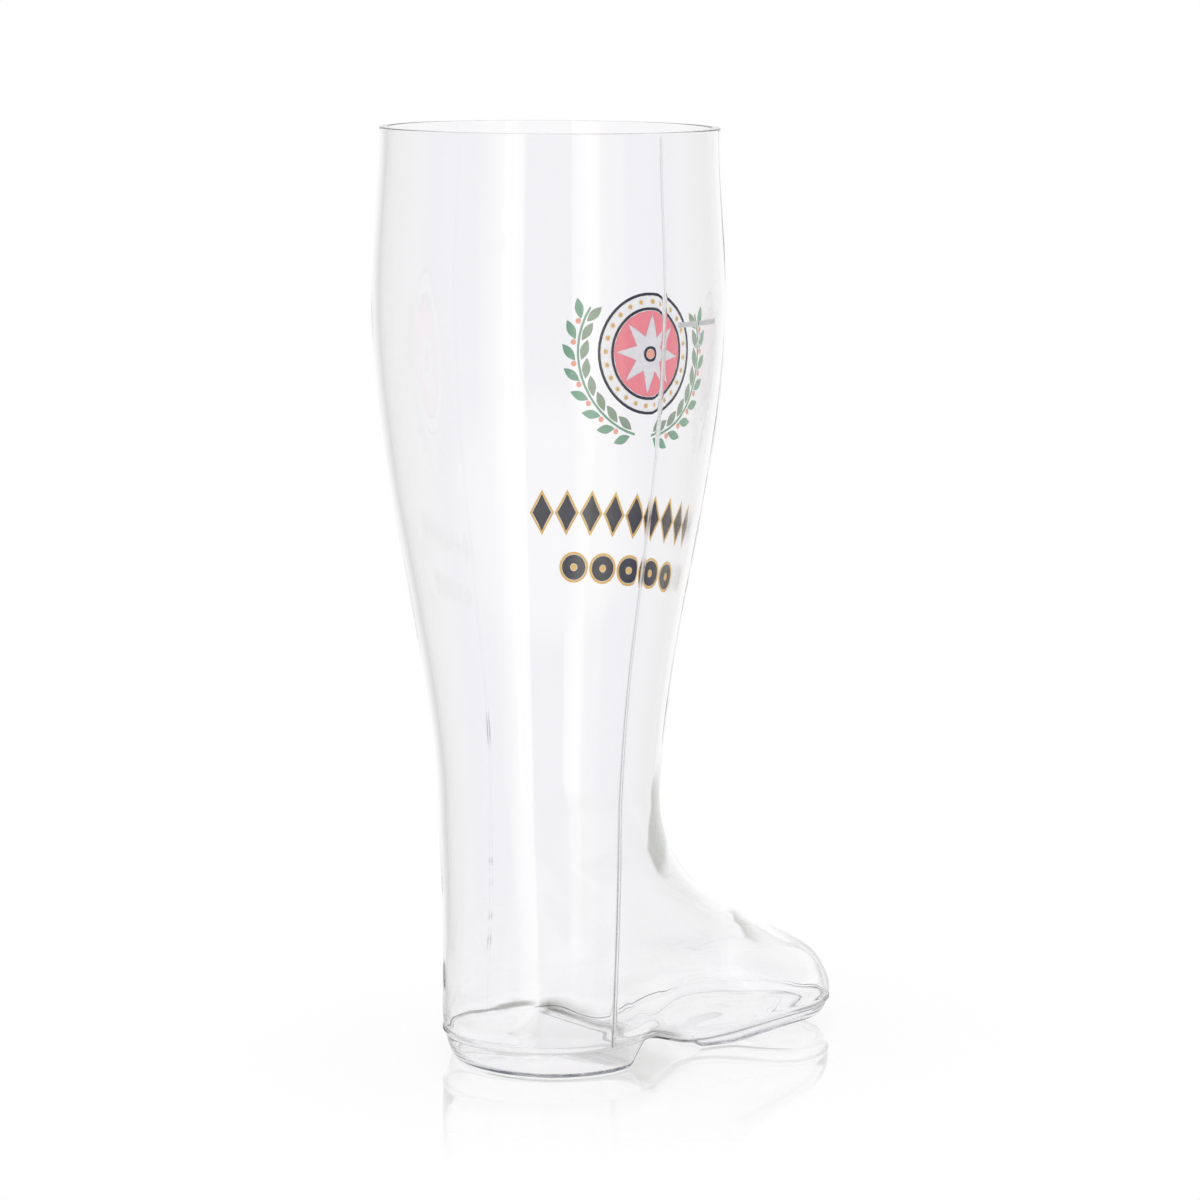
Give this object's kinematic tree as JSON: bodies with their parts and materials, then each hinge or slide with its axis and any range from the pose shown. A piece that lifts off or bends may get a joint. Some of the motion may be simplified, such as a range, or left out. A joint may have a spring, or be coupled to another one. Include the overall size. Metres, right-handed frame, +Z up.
{
  "type": "boot beer glass",
  "caption": "Tall clear beer glass in the form of a boot, with a heel, an arched waist and a front sole, and a printed medallion, bands and a fill line on its wall.",
  "frame": {"origin": "on the leg's axis, in the flat face under the heel that stands on the table", "axes": "+X towards the toe, +Y to the boot's left side, +Z up along the leg's axis towards the rim"},
  "size_m": [0.1932, 0.1304, 0.345],
  "materials": {
    "clear_glass": "polished",
    "enamel_red": "gloss",
    "enamel_white": "gloss",
    "enamel_silver": "satin",
    "enamel_black": "gloss",
    "enamel_dark_green": "gloss",
    "enamel_light_green": "gloss",
    "enamel_orange": "gloss",
    "enamel_gold": "satin",
    "enamel_line": "satin"
  },
  "bodies": {
    "root": {"boot_glass": "clear_glass", "medallion_red": "enamel_red", "ring_white": "enamel_white", "star_silver": "enamel_silver", "outline_black": "enamel_black", "leaves_dark_green": "enamel_dark_green", "leaves_light_green": "enamel_light_green", "berries_orange": "enamel_orange", "border_gold": "enamel_gold", "fill_mark": "enamel_line"}
  },
  "joints": []
}
